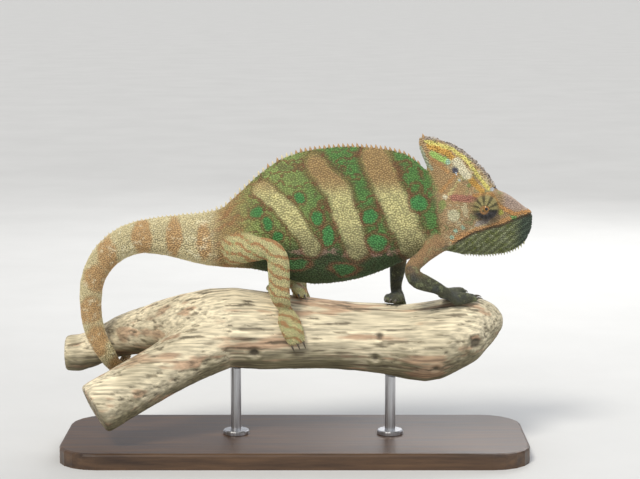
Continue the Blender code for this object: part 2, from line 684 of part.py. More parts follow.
def make_limbs(wood_cutter):
    body_cutter = boolean(trunk_mesh(118, -96, 10, grow=CUTTER_GROWTH), [head_cutter()], "UNION")
    for limb in LIMBS.values():
        upper, lower, foot = limb["names"]
        rings, middles, cuts = limb_rings(limb)
        knee, ankle = middles
        knee_gap, ankle_gap = (way * HALF_GAP for way in cuts)
        thigh = mesh_of(rings[:knee] + [rings[knee] - knee_gap])
        shin = mesh_of([rings[knee] + knee_gap] + rings[knee + 1:ankle] + [rings[ankle] - ankle_gap])
        palm = [rings[ankle] + ankle_gap] + rings[ankle + 1:]
        add_object(upper, tidy(boolean(thigh, [body_cutter], "DIFFERENCE")), "banded_skin")
        add_object(lower, tidy(shin), "banded_skin")
        add_object(foot, tidy(foot_mesh(limb, palm, cuts[1], wood_cutter)), "banded_skin")


def main():
    for obj in list(bpy.data.objects):
        bpy.data.objects.remove(obj)
    wood_cutter = grown(limb_mesh(), CUTTER_GROWTH)
    make_body()
    make_head()
    make_limbs(wood_cutter)
    make_stand(wood_cutter)
    add_object("perch_limb", tidy(limb_mesh()), "driftwood")
    add_object("perch_fork", tidy(boolean(fork_mesh(), [wood_cutter], "DIFFERENCE")), "driftwood")


main()
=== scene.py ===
import math

import bpy
import numpy as np
import openvdb as vdb
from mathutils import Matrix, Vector
from mathutils.bvhtree import BVHTree


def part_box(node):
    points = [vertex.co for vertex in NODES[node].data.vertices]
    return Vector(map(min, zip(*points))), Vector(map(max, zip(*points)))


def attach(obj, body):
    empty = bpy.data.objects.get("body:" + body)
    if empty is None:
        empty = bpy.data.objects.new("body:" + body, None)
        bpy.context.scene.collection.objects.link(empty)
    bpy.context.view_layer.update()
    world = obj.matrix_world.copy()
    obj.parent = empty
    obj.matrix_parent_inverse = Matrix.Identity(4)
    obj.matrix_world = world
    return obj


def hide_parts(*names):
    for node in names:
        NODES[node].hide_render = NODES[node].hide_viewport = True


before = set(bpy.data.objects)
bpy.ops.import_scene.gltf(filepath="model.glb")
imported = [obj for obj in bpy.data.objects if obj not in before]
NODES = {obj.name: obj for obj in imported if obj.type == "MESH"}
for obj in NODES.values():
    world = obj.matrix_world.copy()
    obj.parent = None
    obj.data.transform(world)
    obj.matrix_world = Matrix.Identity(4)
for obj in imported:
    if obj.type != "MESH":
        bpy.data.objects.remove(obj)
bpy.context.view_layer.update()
MM = 0.001
rng = np.random.default_rng(41)

# ------------------------------------------------------------------ names of the parts
LIMBS = [
    "upper_arm_right", "forearm_right", "hand_right", "upper_arm_left", "forearm_left", "hand_left",
    "thigh_right", "shin_right", "hind_foot_right", "thigh_left", "shin_left", "hind_foot_left",
]
TAIL = ["tail_base", "tail_arch", "tail_drop", "tail_tip"]
FLESH = ["casque", "head", "lower_jaw", "eye_turret_right", "eye_turret_left", "neck", "trunk"] + LIMBS + TAIL
WOOD = ["perch_limb", "perch_fork"]
VOXEL = 1.02
COAT_DEPTH = 0.7  # how far the skin lies inside the solids, which is the depth of the scales


# ------------------------------------------------------------------ small helpers (millimetres)
def ramp(x, low, high):
    """0 below low, 1 above high, with a smooth step between."""
    t = np.clip((np.asarray(x, float) - low) / (high - low), 0.0, 1.0)
    return t * t * (3.0 - 2.0 * t)


def hashed(cells, seed):
    """A repeatable number from 0 to 1 for each row of whole numbers."""
    value = (cells[:, 0] * 73856093) ^ (cells[:, 1] * 19349663) ^ (cells[:, 2] * 83492791)
    value = value ^ (seed * 2654435761)
    value = (value ^ (value >> 13)) * 1274126177
    value = value ^ (value >> 16)
    return (value & 0xFFFFFF) / float(0x1000000)


def noise(points, size, seed=0):
    """Smooth value noise, about -1 to 1, with lumps about size across."""
    scaled = np.asarray(points, float) / size
    cell = np.floor(scaled).astype(np.int64)
    part = scaled - cell
    part = part * part * (3.0 - 2.0 * part)
    total = np.zeros(len(scaled))
    for dx in (0, 1):
        for dy in (0, 1):
            for dz in (0, 1):
                weight = np.ones(len(scaled))
                for axis, step in enumerate((dx, dy, dz)):
                    weight = weight * (part[:, axis] if step else 1.0 - part[:, axis])
                total += weight * hashed(cell + (dx, dy, dz), seed)
    return total * 2.0 - 1.0


def clouds(points, size, seed=0):
    """Noise in three sizes."""
    middle = noise(points, size / 2.1, seed + 1)
    small = noise(points, size / 4.3, seed + 2)
    return (noise(points, size, seed) + 0.5 * middle + 0.25 * small) / 1.4


def mesh_object(name, points, faces, smooth=True):
    """A mesh object from points in millimetres and rows of corners."""
    mesh = bpy.data.meshes.new(name)
    faces = np.asarray(faces, np.int32)
    width = faces.shape[1]
    mesh.vertices.add(len(points))
    mesh.vertices.foreach_set("co", np.asarray(points * MM, np.float32).ravel())
    mesh.loops.add(faces.size)
    mesh.loops.foreach_set("vertex_index", faces.ravel())
    mesh.polygons.add(len(faces))
    mesh.polygons.foreach_set("loop_start", np.arange(0, faces.size, width, dtype=np.int32))
    mesh.update(calc_edges=True)
    mesh.polygons.foreach_set("use_smooth", np.full(len(faces), smooth))
    mesh.update()
    made = bpy.data.objects.new(name, mesh)
    bpy.context.scene.collection.objects.link(made)
    return made


def triangles_of(names):
    """Points in millimetres and triangles of several of the frame's nodes together."""
    all_points, all_faces, start = [], [], 0
    for name in names:
        mesh = NODES[name].data
        mesh.calc_loop_triangles()
        points = np.empty(len(mesh.vertices) * 3, np.float32)
        mesh.vertices.foreach_get("co", points)
        faces = np.empty(len(mesh.loop_triangles) * 3, np.int32)
        mesh.loop_triangles.foreach_get("vertices", faces)
        all_points.append(points.reshape(-1, 3) / MM)
        all_faces.append(faces.reshape(-1, 3) + start)
        start += len(mesh.vertices)
    return np.concatenate(all_points), np.concatenate(all_faces)


class Field:
    """A solid as signed distances, in millimetres, on a grid of voxels."""

    def __init__(self, low, high, voxel):
        self.low = np.floor(np.array(low) / voxel).astype(int)
        self.size = np.ceil(np.array(high) / voxel).astype(int) - self.low + 1
        self.voxel = voxel

    def of(self, points, faces, reach=6.0):
        """Signed distances to a closed surface, negative inside, held at reach away from it."""
        grid = vdb.FloatGrid.createLevelSetFromPolygons(
            np.ascontiguousarray(points, np.float32),
            triangles=np.ascontiguousarray(faces, np.uint32),
            transform=vdb.createLinearTransform(voxelSize=self.voxel),
            halfWidth=reach / self.voxel,
        )
        values = np.empty(tuple(self.size), np.float32)
        grid.copyToArray(values, ijk=tuple(int(v) for v in self.low))
        return values

    def surface(self, values, level=0.0):
        """Points in millimetres and four-cornered faces of the surface at a level."""
        grid = vdb.FloatGrid()
        grid.background = float(values.max())
        grid.copyFromArray(np.ascontiguousarray(values, np.float32), ijk=(0, 0, 0), tolerance=0.0)
        points, quads = grid.convertToQuads(isovalue=level)
        return (points + self.low) * self.voxel, np.asarray(quads, np.int64)[:, ::-1]

    def centres(self, axis):
        return (np.arange(self.size[axis]) + self.low[axis]) * self.voxel


def blurred(values, radius):
    """The values smoothed by a bell curve of that radius in voxels."""
    reach = int(math.ceil(radius * 2.5))
    kernel = np.exp(-0.5 * (np.arange(-reach, reach + 1) / radius) ** 2)
    kernel = (kernel / kernel.sum()).astype(np.float32)
    for axis in range(3):
        padded = np.pad(values, [(reach, reach) if a == axis else (0, 0) for a in range(3)], mode="edge")
        total = np.zeros_like(values)
        for i, weight in enumerate(kernel):
            span = [slice(None)] * 3
            span[axis] = slice(i, i + values.shape[axis])
            total += weight * padded[tuple(span)]
        values = total
    return values


def triangles_from(quads):
    """Two triangles for each four-cornered face."""
    return np.concatenate([quads[:, :3], quads[:, [0, 2, 3]]])


def vertex_normals(points, quads):
    """Unit normals at the points of a quad mesh."""
    a, b, c, d = (points[quads[:, i]] for i in range(4))
    face = np.cross(c - a, d - b)
    total = np.zeros_like(points)
    for i in range(4):
        np.add.at(total, quads[:, i], face)
    return total / np.maximum(np.linalg.norm(total, axis=1, keepdims=True), 1e-9)


# ------------------------------------------------------------------ the skin's shape
flesh_points, flesh_faces = triangles_of(FLESH)
field = Field(flesh_points.min(0) - 7.0, flesh_points.max(0) + 7.0, VOXEL)
solid = field.of(flesh_points, flesh_faces)
X, Y, Z = np.meshgrid(field.centres(0), field.centres(1), field.centres(2), indexing="ij", sparse=True)


def near(x, y, z, radius, soft):
    """1 within radius of a point, falling to 0 over soft."""
    return 1.0 - ramp(np.sqrt((X - x) ** 2 + (Y - y) ** 2 + (Z - z) ** 2), radius, radius + soft)


CUT_CLOSING = 0.45  # grown and shrunk by this, which closes the narrow cuts between the nodes
grown_points, grown_quads = field.surface(solid, CUT_CLOSING)
closed_cuts = field.of(grown_points, triangles_from(grown_quads)) + CUT_CLOSING
soft_small = blurred(closed_cuts, 0.75)
soft_large = blurred(closed_cuts, 2.3)
# hips, shoulders, throat, tail root and ankles, which the skin rounds over: x, y, z, radius, softness
SOFT_JOINTS = [
    (-45, -12, 157, 14, 12), (-45, 12, 157, 14, 12), (104, -10, 158, 12, 12), (103, 10, 158, 12, 12),
    (112, 0, 168, 14, 12), (-72, 0, 163, 12, 14), (-11, -32, 124, 5, 8), (0, 31, 129, 5, 8),
]
joints = np.zeros_like(solid)
for spot in SOFT_JOINTS:
    joints = np.maximum(joints, near(*spot))
crest_zone = ramp(X, 110.0, 118.0) * ramp(Z, 196.0, 204.0)
body_field = soft_small * (1 - joints) + (soft_large - 0.6) * joints
body_field = body_field * (1 - crest_zone) + closed_cuts * crest_zone
skin_points, skin_quads = field.surface(body_field, -COAT_DEPTH)

# ------------------------------------------------------------------ the markings, by place
PALE = (0.66, 0.61, 0.29)
TAN = (0.39, 0.26, 0.11)
GREEN = (0.105, 0.24, 0.06)
LIME = (0.26, 0.33, 0.10)
# the belly's own dark green, made darker still as painted shade of the lower flank
BELLY_GREEN_AND_SHADE = (0.036, 0.062, 0.020)
MAROON = (0.20, 0.07, 0.035)
PINK = (0.45, 0.27, 0.22)
CREAM = (0.80, 0.76, 0.55)
ORANGE = (0.58, 0.30, 0.10)
DARK = (0.035, 0.032, 0.020)
YELLOW = (0.70, 0.63, 0.20)
TURQUOISE = (0.35, 0.55, 0.42)
DARK_BLUE = (0.04, 0.06, 0.12)
PALE_BLUE = (0.6, 0.7, 0.75)
SEEN_TILT = math.radians(8.0)
UNIT = 0.75  # millimetres for one unit of the side view, in which the markings are laid out
ORIGIN_ACROSS, ORIGIN_DOWN = 295.0, 452.0


def side_view(points):
    """Each point's place across and down, seen from either side and a little above."""
    up = points[:, 2] * math.cos(SEEN_TILT) - np.abs(points[:, 1]) * math.sin(SEEN_TILT)
    return points[:, 0] / UNIT + ORIGIN_ACROSS, ORIGIN_DOWN - up / UNIT


LIP_ACROSS = [444, 453, 470, 488, 502, 512, 526.5, 534]
LIP_DOWN = [246, 243.5, 234, 228, 225, 220, 215, 213]
LIP_FROM, LIP_TO = 449, 456  # where the mouth's corner fades out


def band_weight(u, v, line, width):
    """1 on a line of (across, down) points, falling to 0 past width / 2."""
    line = np.array(line, float)
    best = np.full(len(u), 1e9)
    for (x0, y0), (x1, y1) in zip(line[:-1], line[1:]):
        along = np.array([x1 - x0, y1 - y0])
        t = np.clip(((u - x0) * along[0] + (v - y0) * along[1]) / (along @ along), 0, 1)
        best = np.minimum(best, np.hypot(u - x0 - t * along[0], v - y0 - t * along[1]))
    return 1.0 - ramp(best, width * 0.36, width * 0.62)


def spot_weight(u, v, x, y, across, down):
    distance = np.hypot((u - x) / across, (v - y) / down)
    return 1.0 - ramp(distance, 0.75, 1.15)


def mix(colour, other, weight):
    return colour + (np.array(other) - colour) * weight[:, None]


BODY_BANDS = [
    ([(262, 190), (280, 202), (296, 222), (312, 248)], 17),
    ([(316, 166), (338, 190), (344, 212), (356, 246)], 23),
    ([(374, 158), (388, 190), (400, 215), (412, 244)], 27),
]
# spots: place across, place down, half width, half height
GREEN_SPOTS = [
    (369, 217, 8, 8), (377, 242, 9, 7.5), (417, 204, 8, 8), (301, 199, 6, 6), (257, 213, 7, 6), (268, 224, 5, 7),
    (278, 236, 6, 5), (318, 218, 6, 7), (327, 235, 6, 10), (297, 264, 12, 5), (345, 268, 12, 5),
]
TAIL_BROWN = [
    (205, 240, 9, 12), (175, 237, 9, 12), (143, 236, 10, 12), (108, 254, 11, 11),
    (96, 279, 12, 7), (90, 310, 12, 7), (95, 342, 12, 9), (118, 372, 12, 9),
]


def body_colour(points):
    """The markings on neck, trunk and tail, with painted shade towards the belly."""
    u, v = side_view(points)
    wobble = clouds(points, 9.0, 3)
    u = u + 3.0 * wobble
    v = v + 3.0 * clouds(points, 9.0, 7)
    fine = clouds(points, 3.2, 11)
    colour = np.tile(np.array(LIME), (len(points), 1))
    colour = mix(colour, GREEN, ramp(u, 285, 340) * (1 - 0.4 * ramp(fine, 0, 1)))
    colour = mix(colour, MAROON, 0.7 - 0.7 * ramp(np.abs(clouds(points, 11.0, 19)), 0.02, 0.15))
    colour = mix(colour, (0.12, 0.09, 0.04), 0.55 * ramp(fine, 0.15, 0.5))
    # darker towards the belly: partly the belly's own darker green, partly painted shade of the lower flank
    colour = mix(colour, BELLY_GREEN_AND_SHADE, ramp(v, 232, 258) * 0.93)
    flank = band_weight(u, v, [(288, 250), (340, 252), (395, 250)], 8)
    colour = mix(colour, PINK, 0.5 * flank * ramp(fine, -0.2, 0.4))
    for line, width in BODY_BANDS:
        edge = band_weight(u, v, line, width * 1.35)
        inner = band_weight(u, v, line, width)
        colour = mix(colour, MAROON, 0.75 * edge * (1 - inner))
        shade = np.array(PALE) * (0.86 + 0.22 * fine[:, None])
        shade = shade + (np.array(TAN) - shade) * (1 - ramp(v, 178, 200))[:, None]
        # the bands darken towards the belly: partly their own olive, partly painted shade of the lower flank
        shade = shade * (1 - 0.45 * ramp(v, 222, 250)[:, None])
        colour = colour + (shade - colour) * inner[:, None]
    for x, y, across, down in GREEN_SPOTS:
        ring = spot_weight(u, v, x, y, across * 1.45, down * 1.45)
        spot = spot_weight(u, v, x, y, across, down)
        colour = mix(colour, MAROON, 0.7 * ring * (1 - spot))
        # the green spots fade out towards the belly, into its painted shade
        colour = mix(colour, (0.075, 0.27, 0.075), spot * (1 - 0.6 * ramp(v, 235, 262)))
    hip = 1 - ramp(u, 225, 262)
    streak = ramp(np.sin((u * 0.7 + v * 1.1) * 0.42 + 2.5 * wobble), 0.0, 0.8)
    colour = mix(colour, TAN, hip * 0.9)
    colour = mix(colour, (0.36, 0.15, 0.06), hip * streak * 0.5 * ramp(u, 205, 222))
    tail = 1 - ramp(u, 205, 225)
    colour = mix(colour, (0.60, 0.52, 0.30), tail)
    for x, y, across, down in TAIL_BROWN:
        colour = mix(colour, (0.52, 0.31, 0.13), 0.85 * tail * spot_weight(u, v, x, y, across, down + 8))
    colour = mix(colour, CREAM, 0.45 * tail * ramp(fine, 0.1, 0.7))
    return colour


def limb_colour(points, hind):
    """Pale with red-brown crossbars on the hind legs; on the forelegs brown above and dark below, the dark partly
    painted shade from the body.
    """
    fine = clouds(points, 3.0, 23)
    coarse = clouds(points, 8.0, 29)
    if hind:
        colour = np.tile(np.array((0.56, 0.50, 0.25)), (len(points), 1))
        bars = np.sin(points[:, 2] * 0.85 + points[:, 0] * 0.35 + 2.6 * coarse)
        colour = mix(colour, (0.42, 0.17, 0.06), 0.75 * ramp(bars, 0.15, 0.75))
        return mix(colour, (0.40, 0.50, 0.22), 0.5 * ramp(fine, 0.1, 0.6))
    # forelegs darker below: their own olive and blue-grey, deepened by painted shade where the body shades the
    # forearm and hand
    high = ramp(points[:, 2], 134, 150)[:, None]
    colour = np.array((0.075, 0.075, 0.042)) * (1 - high) + np.array((0.34, 0.21, 0.10)) * high
    colour = mix(colour, (0.30, 0.34, 0.16), 0.45 * ramp(fine, 0.1, 0.6))
    return mix(colour, (0.035, 0.045, 0.055), 0.5 * ramp(coarse, 0.1, 0.6))


def head_colour(points):
    """The markings on the head, jaw and casque."""
    u, v = side_view(points)
    fine = clouds(points, 2.2, 31)
    colour = np.tile(np.array((0.42, 0.29, 0.15)), (len(points), 1))
    patches = clouds(points, 4.5, 37)
    cheek = ramp(u, 440, 450) * (1 - ramp(u, 482, 500))
    colour = mix(colour, (0.60, 0.54, 0.34), 0.75 * ramp(patches, 0.1, 0.4) * cheek)
    colour = mix(colour, (0.25, 0.28, 0.12), 0.7 * ramp(-patches, 0.15, 0.45))
    colour = mix(colour, (0.45, 0.34, 0.27), ramp(u, 498, 506) * (1 - ramp(v, 208, 214)))
    strokes = [
        ([(428, 165), (452, 192)], 26, (0.46, 0.31, 0.15), 1.0),
        ([(448, 195), (458, 181), (463, 176)], 3, PALE, 0.6),
        ([(440, 192), (452, 178), (458, 172)], 3, ORANGE, 0.6),
        ([(432, 160), (446, 172)], 4, ORANGE, 0.5),
        ([(429, 147), (447, 154), (466, 176), (480, 191)], 6, (0.62, 0.36, 0.08), 0.9),
        ([(432, 155), (444, 161)], 6, (0.42, 0.66, 0.18), 0.9),
        ([(455, 162), (466, 176)], 9, CREAM, 0.9),
        ([(426, 143), (450, 149), (465, 160), (487, 189)], 4, YELLOW, 0.95),
        ([(452, 198), (475, 200)], 7, (0.42, 0.17, 0.13), 0.8),
        ([(473, 196), (490, 195), (497, 206), (512, 214), (528, 212)], 4, ORANGE, 0.9),
        ([(420, 148), (424, 158), (431, 170)], 3, (0.35, 0.42, 0.30), 0.8),
        ([(452, 240), (470, 232), (492, 226), (508, 220)], 6, (0.55, 0.30, 0.12), 0.9),
        ([(466, 242), (482, 238)], 6, (0.26, 0.09, 0.05), 0.8),
        ([(475, 225), (486, 220)], 4, (0.32, 0.28, 0.28), 0.7),
    ]
    for line, width, shade, weight in strokes:
        colour = mix(colour, shade, weight * band_weight(u + 1.2 * fine, v + 1.2 * fine, line, width))
    spots = [
        (447, 162.5, 3, 3, (0.45, 0.68, 0.52)), (454, 171, 3.4, 3.4, DARK_BLUE),
        (455, 174, 1.4, 1.4, PALE_BLUE), (458.5, 180.5, 1.6, 1.6, PALE_BLUE),
        (467.5, 186, 2.2, 2.2, LIME), (444, 197.5, 3, 2.4, CREAM), (452, 216, 6, 6.5, (0.60, 0.58, 0.38)),
        (461, 227.5, 2.2, 2.2, TURQUOISE), (454, 231, 2.2, 2.2, TURQUOISE), (450.5, 237.5, 2.4, 2.4, TURQUOISE),
        (499, 212.5, 3, 3, (0.5, 0.5, 0.1)), (512.5, 218, 3, 2.4, (0.2, 0.42, 0.12)),
        (496, 187.5, 3, 2.4, DARK_BLUE), (491, 190, 2.4, 2, (0.5, 0.55, 0.6)), (441, 205, 4, 5, LIME),
    ]
    for x, y, across, down, shade in spots:
        colour = mix(colour, shade, 0.85 * spot_weight(u, v, x, y, across, down))
    lip = np.interp(u, LIP_ACROSS, LIP_DOWN)
    jaw = ramp(v - lip, 0.0, 1.6)
    jaw_shade = np.array((0.20, 0.22, 0.10)) + 0.10 * fine[:, None]
    # the jaw's front painted darker: painted shade on the head's lower front
    front = ramp(u, 508, 524)[:, None]
    jaw_shade = jaw_shade * (1 - front) + np.array((0.065, 0.09, 0.06)) * front
    rows = ramp(np.sin((u * 0.75 + v * 1.0) * 0.95), 0.1, 0.8)[:, None]
    jaw_shade = jaw_shade * (0.72 + 0.55 * rows)
    colour = colour + (jaw_shade - colour) * jaw[:, None]
    colour = mix(colour, DARK, 0.8 * (1 - ramp(np.abs(v - lip), 0.9, 2.0)) * ramp(u, 448, 456))
    rim = [(424, 137), (437, 138), (447, 141), (461, 150), (473, 159), (484, 170), (494, 183)]
    edge = band_weight(u, v, rim, 6.5)
    colour = mix(colour, (0.36, 0.30, 0.25), 0.95 * edge)
    colour = mix(colour, (0.60, 0.56, 0.50), 0.6 * edge * ramp(fine, 0.1, 0.5))
    return colour


PUPIL_ACROSS, PUPIL_DOWN = 481.5, 210.5


def turret_colour(points):
    """Radial stripes round each eye, with painted shade on the lower half."""
    u, v = side_view(points)
    angle = np.arctan2(v - PUPIL_DOWN, u - PUPIL_ACROSS)
    from_pupil = np.hypot(u - PUPIL_ACROSS, v - PUPIL_DOWN)
    stripes = ramp(np.sin(angle * 11 + 0.6 * noise(points, 4.0, 5)), -0.2, 0.5)
    upper = np.array((0.36, 0.31, 0.13)) * (1 - 0.72 * stripes[:, None])
    # the lower half painted dark: painted shade under the light from above
    lower = np.tile(np.array((0.05, 0.045, 0.045)), (len(points), 1)) * (1.3 - 0.5 * stripes[:, None])
    below = ramp(v + 0.1 * (u - 481), 210.5, 213.5)[:, None]
    colour = upper * (1 - below) + lower * below
    colour = mix(colour, (0.42, 0.22, 0.08), 0.85 * (1 - ramp(np.abs(from_pupil - 3.2), 0.6, 1.6)))
    return mix(colour, DARK, 0.8 * (1 - ramp(np.abs(v - 211), 0.6, 1.6)) * ramp(u, 483, 486))


REGION_NODES = {
    "head": ["head", "casque", "lower_jaw"], "turret": ["eye_turret_right", "eye_turret_left"],
    "body": ["neck", "trunk"] + TAIL,
    "hind": ["thigh_right", "shin_right", "hind_foot_right", "thigh_left", "shin_left", "hind_foot_left"],
    "fore": ["upper_arm_right", "forearm_right", "hand_right", "upper_arm_left", "forearm_left", "hand_left"],
}


def tree_of(names):
    points, faces = triangles_of(names)
    return BVHTree.FromPolygons([tuple(p) for p in points.tolist()], [tuple(f) for f in faces.tolist()])


REGION_TREES = {name: tree_of(nodes) for name, nodes in REGION_NODES.items()}


def distances(tree, points):
    return np.array([tree.find_nearest(Vector(p))[3] for p in points.tolist()])


region_distance = {name: distances(tree, skin_points) for name, tree in REGION_TREES.items()}
region_order = list(REGION_NODES)
stack = np.stack([region_distance[name] for name in region_order])
softness = np.exp(-(stack - stack.min(0)) / 0.9)
softness = softness / softness.sum(0)
region_weight = dict(zip(region_order, softness))


def markings(points, weight):
    """The colour at each point, blended between the regions it lies near."""
    makers = {"head": head_colour, "turret": turret_colour, "body": body_colour,
              "hind": lambda p: limb_colour(p, True), "fore": lambda p: limb_colour(p, False)}
    total = np.zeros((len(points), 3))
    for name, maker in makers.items():
        near_it = weight[name] > 0.002
        if near_it.any():
            total[near_it] += maker(points[near_it]) * weight[name][near_it, None]
    return np.clip(total, 0.008, 0.95)


skin_normals = vertex_normals(skin_points, skin_quads)
if (skin_normals * (skin_points - skin_points.mean(0))).sum() < 0:
    skin_quads = skin_quads[:, ::-1]
    skin_normals = -skin_normals
skin_colours = markings(skin_points, region_weight)

# ------------------------------------------------------------------ the head's folds and the mouth
side_u, side_v = side_view(skin_points)
lip_line = np.interp(side_u, LIP_ACROSS, LIP_DOWN)
mouth = (1 - ramp(np.abs(side_v - lip_line), 0.2, 1.3)) * ramp(side_u, LIP_FROM, LIP_TO) * region_weight["head"]
BROW_RIDGE = [(444, 197), (458, 199), (474, 196), (490, 195), (498, 205), (512, 213), (528, 211)]
ridges = band_weight(side_u, side_v, BROW_RIDGE, 5)
ridges = ridges + 0.8 * band_weight(side_u, side_v, [(428, 148), (448, 154), (466, 176), (482, 191)], 5)
ridges = ridges + 0.7 * band_weight(side_u, side_v, [(446, 198), (450, 186), (462, 170)], 5)
turret_ring = np.sin(np.hypot(side_u - 483, side_v - 210) * 2.4) * region_weight["turret"]
folds = -0.95 * mouth + 0.5 * np.minimum(ridges, 1.0) * region_weight["head"] + 0.18 * turret_ring
skin_points = skin_points + skin_normals * folds[:, None]
skin_normals = vertex_normals(skin_points, skin_quads)


def colour_layer(mesh, colours):
    """Keeps a colour for each point of the mesh, which its material reads."""
    layer = mesh.color_attributes.new("markings", "FLOAT_COLOR", "POINT")
    with_alpha = np.concatenate([colours, np.ones((len(colours), 1))], axis=1)
    layer.data.foreach_set("color", with_alpha.astype(np.float32).ravel())


def scale_material(name, roughness, detail, stretch=(1.0, 1.0, 1.0), tones=(0.78, 1.2), relief=0.0002):
    """Horny scale: the markings, finely varied, with a little gloss and a grain of its own."""
    made = bpy.data.materials.new(name)
    made.use_nodes = True
    nodes, links = made.node_tree.nodes, made.node_tree.links
    shader = nodes["Principled BSDF"]
    marks = nodes.new("ShaderNodeVertexColor")
    marks.layer_name = "markings"
    place = nodes.new("ShaderNodeTexCoord")
    grain = nodes.new("ShaderNodeTexNoise")
    grain.inputs["Scale"].default_value = detail
    grain.inputs["Detail"].default_value = 5.0
    mapping = nodes.new("ShaderNodeMapping")
    mapping.inputs["Scale"].default_value = stretch
    links.new(place.outputs["Object"], mapping.inputs["Vector"])
    links.new(mapping.outputs["Vector"], grain.inputs["Vector"])
    vary = nodes.new("ShaderNodeMapRange")
    vary.inputs["From Min"].default_value = 0.3
    vary.inputs["From Max"].default_value = 0.7
    vary.inputs["To Min"].default_value = tones[0]
    vary.inputs["To Max"].default_value = tones[1]
    links.new(grain.outputs["Fac"], vary.inputs["Value"])
    tint = nodes.new("ShaderNodeVectorMath")
    tint.operation = "SCALE"
    links.new(marks.outputs["Color"], tint.inputs[0])
    links.new(vary.outputs["Result"], tint.inputs["Scale"])
    links.new(tint.outputs["Vector"], shader.inputs["Base Color"])
    rough = nodes.new("ShaderNodeMapRange")
    rough.inputs["To Min"].default_value = roughness - 0.08
    rough.inputs["To Max"].default_value = roughness + 0.12
    links.new(grain.outputs["Fac"], rough.inputs["Value"])
    links.new(rough.outputs["Result"], shader.inputs["Roughness"])
    bump = nodes.new("ShaderNodeBump")
    bump.inputs["Strength"].default_value = 0.35
    bump.inputs["Distance"].default_value = relief
    links.new(grain.outputs["Fac"], bump.inputs["Height"])
    links.new(bump.outputs["Normal"], shader.inputs["Normal"])
    shader.inputs["Specular IOR Level"].default_value = 0.4
    return made


SCALE_SKIN = scale_material("chameleon_scale", 0.52, 900.0)
SKIN_BETWEEN = scale_material("chameleon_skin", 0.66, 1400.0)
skin = mesh_object("skin", skin_points, skin_quads)
# the skin between the scales at 0.6 of the markings: painted shade in the gaps between the scales
colour_layer(skin.data, skin_colours * 0.60)
skin.data.materials.append(SKIN_BETWEEN)

# ------------------------------------------------------------------ the scales
WAYS = np.array([(math.cos(a), math.sin(a)) for a in np.arange(6) * math.pi / 3])
SEARCH_CELL = 1.5
NEIGHBOURS = [(i, j, k) for i in (-1, 0, 1) for j in (-1, 0, 1) for k in (-1, 0, 1)]
CLOSEST = 0.86  # two roots are never nearer than this share of the spacing
SPACING = {"head": 1.15, "turret": 0.72, "body": 1.45, "hind": 1.05, "fore": 1.05}


def scattered():
    """Roots for the scales over the skin, spread evenly at the spacing of each region."""
    a, b, c, d = (skin_points[skin_quads[:, i]] for i in range(4))
    area = 0.5 * np.linalg.norm(np.cross(c - a, d - b), axis=1)
    weights = np.stack([region_weight[name] for name in region_order])
    spacing = (weights * np.array([SPACING[name] for name in region_order])[:, None]).sum(0)
    on_tail = ramp(-skin_points[:, 0], 60, 130) * region_weight["body"]
    low_hand = (np.abs(skin_points[:, 0] - 106) < 14) & (skin_points[:, 2] < 128)
    toes = ((skin_points[:, 2] < 121) | low_hand) & (skin_points[:, 0] > -30)
    spacing = spacing * (1 - 0.25 * on_tail) * np.where(toes, 0.8, 1.0)
    per_face = spacing[skin_quads].mean(1)
    chance = area / per_face ** 2 * 5.0
    faces = np.repeat(np.arange(len(skin_quads)), rng.poisson(chance))
    rng.shuffle(faces)
    s, t = rng.random((2, len(faces), 1))
    where = (a[faces] * (1 - s) + b[faces] * s) * (1 - t) + (d[faces] * (1 - s) + c[faces] * s) * t
    size = per_face[faces]
    kept, cells = [], {}
    keys = np.floor(where / SEARCH_CELL).astype(int)
    for i, (point, key, gap) in enumerate(zip(where.tolist(), keys.tolist(), size.tolist())):
        limit = (CLOSEST * gap) ** 2
        px, py, pz = point
        taken = any(
            (ox - px) ** 2 + (oy - py) ** 2 + (oz - pz) ** 2 < limit
            for step in NEIGHBOURS
            for ox, oy, oz in cells.get((key[0] + step[0], key[1] + step[1], key[2] + step[2]), ())
        )
        if not taken:
            cells.setdefault(tuple(key), []).append(point)
            kept.append(i)
    kept = np.array(kept)
    nearest = skin_quads[faces[kept], 0]
    return where[kept], nearest, size[kept]


roots, root_vertex, root_size = scattered()
root_normal = skin_normals[root_vertex]
root_weight = {name: values[root_vertex] for name, values in region_weight.items()}
root_colour = markings(roots, root_weight)


def frames_of(normals, lie):
    """Two directions across each normal: along the lie, and beside it."""
    along = lie - normals * (lie * normals).sum(1, keepdims=True)
    short = np.linalg.norm(along, axis=1) < 0.15
    along[short] = np.cross(normals[short], (0.0, 1.0, 0.3))
    along = along / np.maximum(np.linalg.norm(along, axis=1, keepdims=True), 1e-6)
    return along, np.cross(normals, along)


# the unwrap of the skin: each node's own length and girth, in its own cell of the square
FLESH_TREES = {name: tree_of([name]) for name in FLESH}
AXES = {}
for flesh_name in FLESH:
    own, _ = triangles_of([flesh_name])
    middle = own.mean(0)
    axes = np.linalg.svd(own - middle, full_matrices=False)[2]
    AXES[flesh_name] = (middle, axes, np.abs((own - middle) @ axes[0]).max() + 1.0)
node_distance = np.stack([distances(FLESH_TREES[name], roots) for name in FLESH])
root_node = node_distance.argmin(0)


def unwrapped(points, node_index, cells, columns):
    """Each root's place on the unwrap, with the nodes' cells laid out in columns."""
    uv = np.zeros((len(points), 2))
    for order, index in enumerate(cells):
        mine = node_index == index
        middle, axes, half = AXES[FLESH[index]]
        local = (points[mine] - middle) @ axes.T
        across = (local[:, 0] / half + 1) / 2
        round_it = np.arctan2(local[:, 2], local[:, 1]) / (2 * math.pi) + 0.5
        column, row = order % columns, order // columns
        uv[mine, 0] = (column + 0.04 + 0.92 * across) / columns
        uv[mine, 1] = (row + 0.04 + 0.92 * round_it) / columns
    return uv


